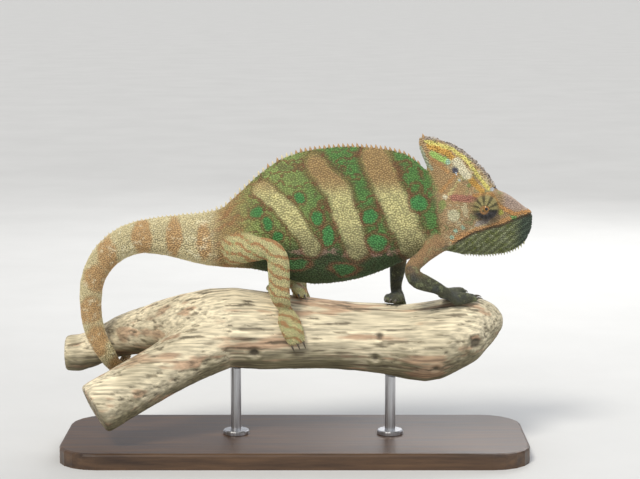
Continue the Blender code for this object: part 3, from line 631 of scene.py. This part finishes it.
PATCH = 0.003
lie = np.tile(np.array((-1.0, 0.0, -0.15)), (len(roots), 1))
leg_root = (root_weight["hind"] + root_weight["fore"]) > 0.5
lie[leg_root] = (0.1, 0.0, -1.0)
tail_turn = roots[:, 0] < -125
lie[tail_turn] = (-0.1, 0.0, -1.0)
along, beside = frames_of(root_normal, lie)
pale_bead = ramp(root_colour.sum(1), 1.1, 1.7) * root_weight["body"]
swell = 1.0 + 0.16 * clouds(roots, 5.0, 61) + 0.20 * pale_bead
radius = 0.585 * root_size * swell
dome = 0.62 + 0.35 * pale_bead + 0.25 * root_weight["head"]
height = radius * dome * (1.0 + 0.15 * clouds(roots, 2.0, 67))
chin_cone = ramp(-roots[:, 2], -158, -150) * root_weight["head"] * ramp(2.2 - np.abs(roots[:, 1]), 0, 1.5)
height = height * (1 + 1.2 * chin_cone)
casque_bead = root_weight["head"] * ramp(roots[:, 2], 196, 202) * (1 - ramp(np.abs(roots[:, 1]), 2.4, 4.0))
radius = radius * (1 + 0.35 * casque_bead)
height = height * (1 + 0.8 * casque_bead)

# rings of one scale: (reach, rise, set back along the lie)
RINGS = [(1.0, -0.25, 0.0), (0.84, 0.62, 0.06)]
TOP = (0.0, 1.0, 0.12)
STRETCH = 1.08


def scale_mesh(name, chosen, cell_list, columns):
    """One piece of joined scales: a six-sided dome at each chosen root."""
    count = len(chosen)
    base, normal = roots[chosen][:, None], root_normal[chosen][:, None]
    fore, side = along[chosen][:, None], beside[chosen][:, None]
    wide, tall = radius[chosen][:, None, None], height[chosen][:, None, None]
    turn = rng.random(count) * math.pi / 3
    points = []
    for reach, rise, back in RINGS:
        angle = turn[:, None] + np.arange(6)[None] * math.pi / 3
        a, b = np.cos(angle)[..., None] * STRETCH, np.sin(angle)[..., None] / STRETCH
        points.append(base + (fore * (a * reach + back) + side * b * reach) * wide + normal * tall * rise)
    points.append(base + fore * wide * TOP[2] + normal * tall * TOP[1])
    points = np.concatenate(points, axis=1).reshape(-1, 3)
    pattern = []
    for i in range(6):
        j = (i + 1) % 6
        pattern += [(i, j, 6 + j), (i, 6 + j, 6 + i), (6 + i, 6 + j, 12)]
    faces = (np.array(pattern)[None] + 13 * np.arange(count)[:, None, None]).reshape(-1, 3)
    made = mesh_object(name, points, faces)
    tone = 1.0 + 0.22 * (rng.random(count) - 0.5)
    # each scale's rim painted darker, painted shade where it meets the skin, and its top a little lighter, a faint
    # painted highlight
    painted_dome_shading = np.array([0.78] * 6 + [1.0] * 6 + [1.06])
    colours = (root_colour[chosen] * tone[:, None])[:, None] * painted_dome_shading[None, :, None]
    colour_layer(made.data, np.clip(colours.reshape(-1, 3), 0.004, 0.97))
    centre = unwrapped(roots[chosen], root_node[chosen], cell_list, columns)
    ring = np.concatenate([WAYS * 0.5, WAYS * 0.42, [(0.0, 0.0)]]) * PATCH
    uv = (centre[:, None] + ring[None]).reshape(-1, 2)
    layer = made.data.uv_layers.new(name="OFBake")
    layer.data.foreach_set("uv", uv[faces.ravel()].astype(np.float32).ravel())
    made.data.materials.append(SCALE_SKIN)
    return made


SCALE_PIECES = {
    "scales_head": (["casque", "head", "lower_jaw", "eye_turret_right", "eye_turret_left"], "head_skin"),
    "scales_trunk": (["neck", "trunk"], "body_skin"),
    "scales_legs": (LIMBS, "limb_skin"),
    "scales_tail": (TAIL, "tail_skin"),
}
MOST_SCALES = 11000
coat = []
for piece_name, (members, slot) in SCALE_PIECES.items():
    cells = [FLESH.index(member) for member in members]
    mine = np.flatnonzero(np.isin(root_node, cells))
    mine = mine[np.argsort(roots[mine, 0], kind="stable")]
    parts = int(math.ceil(len(mine) / MOST_SCALES))
    for part, chosen in enumerate(np.array_split(mine, parts)):
        name = piece_name if parts == 1 else f"{piece_name}_{part + 1}"
        coat.append((scale_mesh(name, chosen, cells, int(math.ceil(math.sqrt(len(cells))))), slot))

# ------------------------------------------------------------------ cones: the back's crest, the chin's beard
CONE_RINGS = ((0.0, 1.0, 0.7), (0.45, 0.66, 1.0), (0.8, 0.3, 1.15))  # rise, reach and painted shade of each ring: painted shade at the foot, lighter towards the tip
CONE_POINTS = 6 * len(CONE_RINGS) + 1
CONES_A_ROW = 30


def cone_mesh(name, feet, tips, widths, colours):
    """Six-sided cones from feet to tips, with painted shade darkening the foot."""
    points, faces, shades = [], [], []
    for foot, tip, width, colour in zip(feet, tips, widths, colours):
        foot, tip = np.array(foot, float), np.array(tip, float)
        way = (tip - foot) / np.linalg.norm(tip - foot)
        across = np.cross(way, (0.0, 1.0, 0.0))
        across = across / max(np.linalg.norm(across), 1e-6)
        other = np.cross(way, across)
        start = len(points)
        for rise, reach, shade in CONE_RINGS:
            for k in range(6):
                angle = k * math.pi / 3
                sideways = across * math.cos(angle) + 0.8 * other * math.sin(angle)
                points.append(foot + (tip - foot) * rise + sideways * width * reach)
                # each ring's colour times its painted shade from CONE_RINGS
                shades.append(np.array(colour) * shade)
        points.append(tip)
        shades.append(np.array(colour) * 1.2)
        for ring in (start, start + 6):
            for k in range(6):
                j = (k + 1) % 6
                faces += [(ring + k, ring + j, ring + 6 + j), (ring + k, ring + 6 + j, ring + 6 + k)]
        faces += [(start + 12 + k, start + 12 + (k + 1) % 6, start + 18) for k in range(6)]
    made = mesh_object(name, np.array(points), np.array(faces))
    colour_layer(made.data, np.clip(np.array(shades), 0.004, 0.97))
    made.data.materials.append(SCALE_SKIN)
    layer = made.data.uv_layers.new(name="OFBake")
    index = np.arange(len(points))
    cone = index // CONE_POINTS
    place = 0.02 + 0.96 * np.stack([cone % CONES_A_ROW, cone // CONES_A_ROW], axis=1) / CONES_A_ROW
    place = place + PATCH * 0.4 * np.stack([np.cos(index), np.sin(index)], axis=1)
    layer.data.foreach_set("uv", place[np.array(faces).ravel()].astype(np.float32).ravel())
    return made


skin_tree = BVHTree.FromPolygons(
    [tuple(p) for p in skin_points.tolist()], [tuple(q) for q in skin_quads.tolist()]
)


def top_of_skin(x, y, way=-1, start=300.0):
    """The height where a plumb line through (x, y) meets the skin from above, or from below."""
    hit = skin_tree.ray_cast(Vector((x, y, start)), Vector((0, 0, way)))[0]
    return None if hit is None else hit.z


feet, tips, widths, colours = [], [], [], []
x = 96.0
while x > -165.0:
    z = top_of_skin(x, 0.0)
    step = 3.5 if x > -60 else 3.1
    if z is not None and z > 150:
        size = 3.1 if x > -60 else 1.5 + 0.9 * ramp(x, -130, -60)
        size = float(size * (0.85 + 0.3 * rng.random()))
        pale = x < -52 * rng.random() + 10
        feet.append((x, 0, z - 0.8))
        tips.append((x - 0.9, 0.1, z + size))
        widths.append(min(1.45, 0.45 * size + 0.25))
        colours.append((0.62, 0.54, 0.34) if pale else (0.42, 0.26, 0.12))
    x -= step
crest = cone_mesh("dorsal_crest", feet, tips, widths, colours)
feet, tips, widths, colours = [], [], [], []
for x in np.arange(123.0, 172.0, 2.1):
    for y in (-1.3, 1.3):
        z = top_of_skin(x, y, way=1, start=120.0)
        if z is not None and z > 138:
            size = 2.3 + 0.8 * rng.random()
            feet.append((x, y, z + 0.6))
            tips.append((x + 0.6, y * 1.3, z - size))
            widths.append(0.85)
            colours.append((0.36, 0.36, 0.20))
for x in np.arange(-30.0, 100.0, 3.0):
    z = top_of_skin(x, 0.0, way=1, start=110.0)
    if z is not None and z > 122:
        feet.append((x, 0, z + 0.5))
        tips.append((x - 0.3, 0, z - 1.2))
        widths.append(0.7)
        colours.append((0.35, 0.36, 0.20))
beard = cone_mesh("beard_cones", feet, tips, widths, colours)
coat += [(crest, "body_skin"), (beard, "head_skin")]


# ------------------------------------------------------------------ plain procedural materials
def noisy_material(name, low, high, scale, roughness, bump_size, metallic=0.0, stretch=(1, 1, 1)):
    """A material whose colour, roughness and relief run between two shades in stretched noise."""
    made = bpy.data.materials.new(name)
    made.use_nodes = True
    nodes, links = made.node_tree.nodes, made.node_tree.links
    shader = nodes["Principled BSDF"]
    place = nodes.new("ShaderNodeTexCoord")
    mapping = nodes.new("ShaderNodeMapping")
    mapping.inputs["Scale"].default_value = stretch
    links.new(place.outputs["Object"], mapping.inputs["Vector"])
    coarse = nodes.new("ShaderNodeTexNoise")
    coarse.inputs["Scale"].default_value = scale
    coarse.inputs["Detail"].default_value = 8.0
    coarse.inputs["Roughness"].default_value = 0.62
    links.new(mapping.outputs["Vector"], coarse.inputs["Vector"])
    blend = nodes.new("ShaderNodeValToRGB")
    blend.color_ramp.elements[0].position = 0.32
    blend.color_ramp.elements[0].color = (*low, 1)
    blend.color_ramp.elements[1].position = 0.68
    blend.color_ramp.elements[1].color = (*high, 1)
    links.new(coarse.outputs["Fac"], blend.inputs["Fac"])
    links.new(blend.outputs["Color"], shader.inputs["Base Color"])
    rough = nodes.new("ShaderNodeMapRange")
    rough.inputs["To Min"].default_value = max(0.05, roughness - 0.1)
    rough.inputs["To Max"].default_value = min(1.0, roughness + 0.1)
    links.new(coarse.outputs["Fac"], rough.inputs["Value"])
    links.new(rough.outputs["Result"], shader.inputs["Roughness"])
    bump = nodes.new("ShaderNodeBump")
    bump.inputs["Strength"].default_value = 0.6
    bump.inputs["Distance"].default_value = bump_size
    links.new(coarse.outputs["Fac"], bump.inputs["Height"])
    links.new(bump.outputs["Normal"], shader.inputs["Normal"])
    shader.inputs["Metallic"].default_value = metallic
    return made


DRIFTWOOD = scale_material("bleached_driftwood", 0.78, 520.0, (0.08, 1.0, 1.0), (0.45, 1.25), 0.0006)
BASE_WOOD = noisy_material("dark_turned_wood", (0.035, 0.018, 0.010), (0.12, 0.065, 0.032),
                           160.0, 0.38, 0.0002, stretch=(0.08, 1.0, 1.0))
STEEL = noisy_material("brushed_steel", (0.42, 0.42, 0.43), (0.62, 0.62, 0.63),
                       900.0, 0.32, 0.00005, metallic=1.0, stretch=(1.0, 1.0, 0.05))
CLAW = noisy_material("dark_claw", (0.045, 0.035, 0.025), (0.15, 0.12, 0.08), 900.0, 0.35, 0.0001)
IRIS = noisy_material("brown_iris", (0.16, 0.07, 0.02), (0.42, 0.22, 0.06), 2500.0, 0.12, 0.00004)
PUPIL = noisy_material("wet_pupil", (0.004, 0.004, 0.004), (0.010, 0.009, 0.008), 1500.0, 0.04, 0.00002)
for node, material in (("stand_base", BASE_WOOD), ("stand_rod_rear", STEEL), ("stand_rod_front", STEEL)):
    data = NODES[node].data
    data.materials.clear()
    data.materials.append(material)

# ------------------------------------------------------------------ the perch, one smooth piece of driftwood
wood_points, wood_faces = triangles_of(WOOD)
wood_field = Field(wood_points.min(0) - 6.0, wood_points.max(0) + 6.0, 1.1)
wood_solid = wood_field.of(wood_points, wood_faces, 7.0)
WOOD_CLOSING = 0.5
wood_grown, wood_quads = wood_field.surface(wood_solid, WOOD_CLOSING)
wood_closed = wood_field.of(wood_grown, triangles_from(wood_quads), 7.0) + WOOD_CLOSING
wood_smooth = blurred(wood_closed, 1.5)
perch_points, perch_quads = wood_field.surface(wood_smooth, -0.4)
perch_normals = vertex_normals(perch_points, perch_quads)
if (perch_normals * (perch_points - perch_points.mean(0))).sum() < 0:
    perch_quads = perch_quads[:, ::-1]
    perch_normals = -perch_normals
grain_place = perch_points * np.array((0.06, 1.0, 1.0))
furrow = clouds(grain_place, 2.2, 71)
lump = clouds(perch_points, 16.0, 73)
KNOTS = [(135, -22, 86, 6), (63, -24, 92, 4), (60, -22, 76, 4), (105, -26, 66, 4), (-30, -26, 80, 5)]
knots = np.zeros(len(perch_points))
for kx, ky, kz, size in KNOTS:
    gap = np.linalg.norm(perch_points - (kx, ky, kz), axis=1)
    swollen_rim = 1 - ramp(np.abs(gap - size * 1.3), 0.5, 2.0)
    knots = knots - 1.6 * (1 - ramp(gap, size * 0.3, size)) + 0.5 * swollen_rim
shift = 0.38 * np.minimum(furrow, 0.3) + 0.5 * np.minimum(lump, 0.0) + knots * 0.8
perch_points = perch_points + perch_normals * shift[:, None]
perch = mesh_object("perch", perch_points, perch_quads)
perch.data.materials.append(DRIFTWOOD)
perch_facing = vertex_normals(perch_points, perch_quads)[:, 2] + 0.35 * lump
wood_colour = np.tile(np.array((0.80, 0.70, 0.49)), (len(perch_points), 1))
# painted shade: the wood painted dark grey-green on its downward faces, in uneven patches
wood_colour = mix(wood_colour, (0.24, 0.21, 0.12), 0.95 * (1 - ramp(perch_facing, -0.75, 0.1)))
stain = clouds(grain_place, 6.0, 81) + 0.3 * lump
wood_colour = mix(wood_colour, (0.52, 0.31, 0.19), 0.75 * ramp(stain, 0.12, 0.45))
wood_colour = mix(wood_colour, (0.15, 0.12, 0.075), 0.8 * ramp(-furrow, 0.28, 0.5))
wood_colour = mix(wood_colour, (0.10, 0.08, 0.055), np.clip(-knots * 0.75, 0, 0.95))
# darker towards both ends, in patches that gather on the downward faces
darker_ends = ramp(perch_points[:, 0], 60, 130) * 0.35 + ramp(-perch_points[:, 0], 60, 110) * 0.45
end_patches = clouds(perch_points, 24.0, 83) - 0.2 * perch_facing
wood_colour = mix(wood_colour, (0.22, 0.19, 0.11), darker_ends * ramp(end_patches, -0.35, 0.3))
colour_layer(perch.data, np.clip(wood_colour, 0.01, 0.95))
for node in WOOD:
    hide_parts(node)
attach(perch, "root")

# ------------------------------------------------------------------ eyes and claws
def dome(name, centre, outward, width, depth, material, rings=10, sides=32):
    """A shallow dome facing outward along Y, open at its hidden back."""
    points, faces = [], []
    for ring in range(rings + 1):
        angle = ring / rings * math.pi / 2
        for k in range(sides):
            turn = 2 * math.pi * k / sides
            reach = width * math.cos(angle)
            points.append((centre[0] + reach * math.cos(turn), centre[1] + outward * depth * math.sin(angle),
                           centre[2] + reach * math.sin(turn)))
    for ring in range(rings):
        for k in range(sides):
            j = (k + 1) % sides
            faces.append((ring * sides + k, ring * sides + j, (ring + 1) * sides + j, (ring + 1) * sides + k))
    if outward > 0:
        faces = [face[::-1] for face in faces]
    made = mesh_object(name, np.array(points), np.array(faces))
    made.data.materials.append(material)
    return made


for side, sign in (("right", -1), ("left", 1)):
    low, high = (np.array(corner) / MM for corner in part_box("eyeball_" + side))
    middle = (low + high) / 2
    face_y = low[1] if sign < 0 else high[1]
    iris = dome("iris_" + side, (middle[0], face_y - sign * 1.3, middle[2]), sign, 2.3, 1.15, IRIS)
    pupil = dome("pupil_" + side, (middle[0], face_y - sign * 0.95, middle[2]), sign, 1.55, 0.95, PUPIL)
    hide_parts("eyeball_" + side)
    for piece in (iris, pupil):
        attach(piece, "root")

# ------------------------------------------------------------------ claws, where each toe ends on the wood
# the driftwood's main limb under the feet: x: (y, z, radius)
WOOD_STATIONS = {
    -42: (0, 93.5, 31.0), -22: (0, 91.5, 30.0), 16: (0, 89.5, 27.2), 48: (0, 87, 26.4), 71: (0, 85, 27.6),
    90: (0, 82.5, 29.6), 104: (0, 83.7, 31.0), 121: (1, 88.5, 29.2), 136.5: (2, 92.5, 24.8), 146: (3, 96, 18.2),
    153: (3, 98, 11.5), 157.5: (3, 98.5, 4.5),
}
# each bundle of toes, outer then inner on each foot: toes, x from and to, turn round the wood from and to, spread
TOE_BUNDLES = [
    (3, (-8, 2), (138, 184), 5.4), (2, (-11, -18), (126, 78), 4.8),
    (3, (3, 12), (45, -12), 5.4), (2, (1.5, 5), (58, 106), 4.8),
    (2, (112, 135), (121, 112), 4.4), (3, (113, 125), (108, 76), 4.2),
    (2, (79, 88), (44, -10), 4.4), (3, (78, 72), (57, 98), 4.2),
]
TOE_SHARES = ((0.7, 4.2), (1.0, 2.9))  # share of the toe's length, and its radius there
GIRTH_RADIUS = 33.0  # of the wood and the toe on it, which turns degrees into length
CLAW_LENGTH = 3.2


def smooth_through(stations, at):
    """The values at one place, on a smooth curve with no overshoot through {place: values}."""
    places = np.array(sorted(stations), float)
    values = np.array([stations[place] for place in sorted(stations)], float)
    steps = np.diff(places)[:, None]
    slopes = np.diff(values, axis=0) / steps
    before, after = slopes[:-1], slopes[1:]
    same_way = before * after > 0
    inner = np.where(same_way, 2 * before * after / np.where(same_way, before + after, 1), 0)
    tangents = np.concatenate([slopes[:1], inner, slopes[-1:]])
    i = int(np.clip(np.searchsorted(places, at, side="right") - 1, 0, len(places) - 2))
    t, step = (at - places[i]) / steps[i], steps[i]
    first = (1 + 2 * t) * (1 - t) ** 2 * values[i] + t * (1 - t) ** 2 * step * tangents[i]
    return first + t * t * (3 - 2 * t) * values[i + 1] - t * t * (1 - t) * step * tangents[i + 1]


def toe_point(bundle, place, share, radius):
    """The middle of a toe at a share of its length, lying on the wood."""
    _, (x0, x1), (turn0, turn1), spread = bundle
    length = math.hypot(x1 - x0, math.radians(turn1 - turn0) * GIRTH_RADIUS)
    across_x = -math.radians(turn1 - turn0) * GIRTH_RADIUS / length
    aside = spread * place * min(1.0, share * 3.5) * (1 - 0.15 * share)
    x = x0 + (x1 - x0) * share + across_x * aside
    turn = turn0 + (turn1 - turn0) * share + math.degrees((x1 - x0) / length * aside / GIRTH_RADIUS)
    y, z, wood_radius = smooth_through(WOOD_STATIONS, x)
    reach, angle = wood_radius + radius * 0.86, math.radians(turn)
    return np.array([x, y + reach * math.cos(angle), z + reach * math.sin(angle)])


def claw_ends():
    """Each claw's foot and tip, to a tenth of a millimetre."""
    ends = []
    for bundle in TOE_BUNDLES:
        for place in np.linspace(-1, 1, bundle[0]) * (1.0 if bundle[0] > 2 else 0.55):
            before, end = (toe_point(bundle, place, share, radius) for share, radius in TOE_SHARES)
            way = (end - before) / np.linalg.norm(end - before)
            inward = np.array([0, *smooth_through(WOOD_STATIONS, end[0])[:2]]) - end * np.array([0, 1, 1])
            inward = inward / np.linalg.norm(inward)
            foot = end + way * CLAW_LENGTH * 0.35
            tip = end + (way + inward * 0.12) * CLAW_LENGTH * 1.8
            ends.append((np.round(foot, 1), np.round(tip, 1)))
    return ends


points, faces = [], []
for foot, tip in claw_ends():
    way = (tip - foot) / np.linalg.norm(tip - foot)
    outward = foot - np.array((foot[0], 0.0, 92.0))
    outward = outward / np.linalg.norm(outward)
    across = np.cross(way, outward)
    for step in range(8):
        share = step / 7
        arch = 0.5 + 1.1 * math.sin(math.pi * share * 0.8)
        middle = foot - way * 1.2 + (tip - foot + way * 1.6) * share + outward * arch
        wide = 1.15 * (1 - share) ** 0.8 + 0.06
        start = len(points)
        points += [middle + (across * math.cos(k * math.pi / 5) * 0.8 + outward * math.sin(k * math.pi / 5)) * wide
                   for k in range(10)]
        if step:
            faces += [(start - 10 + k, start - 10 + (k + 1) % 10, start + (k + 1) % 10, start + k)
                      for k in range(10)]
claws = mesh_object("claws", np.array(points), np.array(faces))
claws.data.materials.append(CLAW)
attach(claws, "root")

# ------------------------------------------------------------------ what rides and replaces what
for node in FLESH:
    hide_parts(node)
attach(skin, "root")
for piece, slot in coat:
    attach(piece, "root")

# ------------------------------------------------------------------ floor, light and camera
FLOOR_REACH = 60000.0
floor_corners = np.array([(-1, -1, 0), (1, -1, 0), (1, 1, 0), (-1, 1, 0)], float) * FLOOR_REACH
floor = mesh_object("floor", floor_corners, np.array([(0, 1, 2, 3)]))
floor.data.materials.append(noisy_material("pale_floor", (0.60, 0.60, 0.59), (0.64, 0.64, 0.63), 6.0, 0.9, 0.0001))
world = bpy.data.worlds.new("studio")
world.use_nodes = True
world.node_tree.nodes["Background"].inputs["Color"].default_value = (0.90, 0.93, 1.0, 1)
world.node_tree.nodes["Background"].inputs["Strength"].default_value = 0.55
bpy.context.scene.world = world
for name, place, power, size, warmth in (
    ("fill", (1.1, -1.0, 0.5), 4.0, 1.2, (0.9, 0.95, 1.0)),
    ("back", (0.4, 1.1, 0.9), 8.0, 0.8, (1.0, 1.0, 1.0)),
):
    lamp = bpy.data.lights.new(name, "AREA")
    lamp.energy, lamp.size, lamp.color = power, size, warmth
    light = bpy.data.objects.new(name, lamp)
    light.location = place
    light.rotation_euler = (Vector((0, 0, 0.15)) - Vector(place)).to_track_quat("-Z", "Y").to_euler()
    bpy.context.scene.collection.objects.link(light)
sun = bpy.data.lights.new("key", "SUN")
sun.energy, sun.angle, sun.color = 2.3, 0.30, (1.0, 0.96, 0.88)
key = bpy.data.objects.new("key", sun)
key.rotation_euler = Vector((0.40, 0.72, -1.0)).to_track_quat("-Z", "Y").to_euler()
bpy.context.scene.collection.objects.link(key)
CAMERA_AWAY = 1.4
AIM = Vector((0.01875, 0.0, 0.161))
camera_data = bpy.data.cameras.new("camera")
camera_data.lens = 36.0 * CAMERA_AWAY / 0.480
camera = bpy.data.objects.new("camera", camera_data)
camera.location = AIM + CAMERA_AWAY * Vector((0, -math.cos(SEEN_TILT), math.sin(SEEN_TILT)))
camera.rotation_euler = (AIM - camera.location).to_track_quat("-Z", "Y").to_euler()
bpy.context.scene.collection.objects.link(camera)
bpy.context.scene.camera = camera
bpy.context.scene.view_settings.view_transform = "Standard"
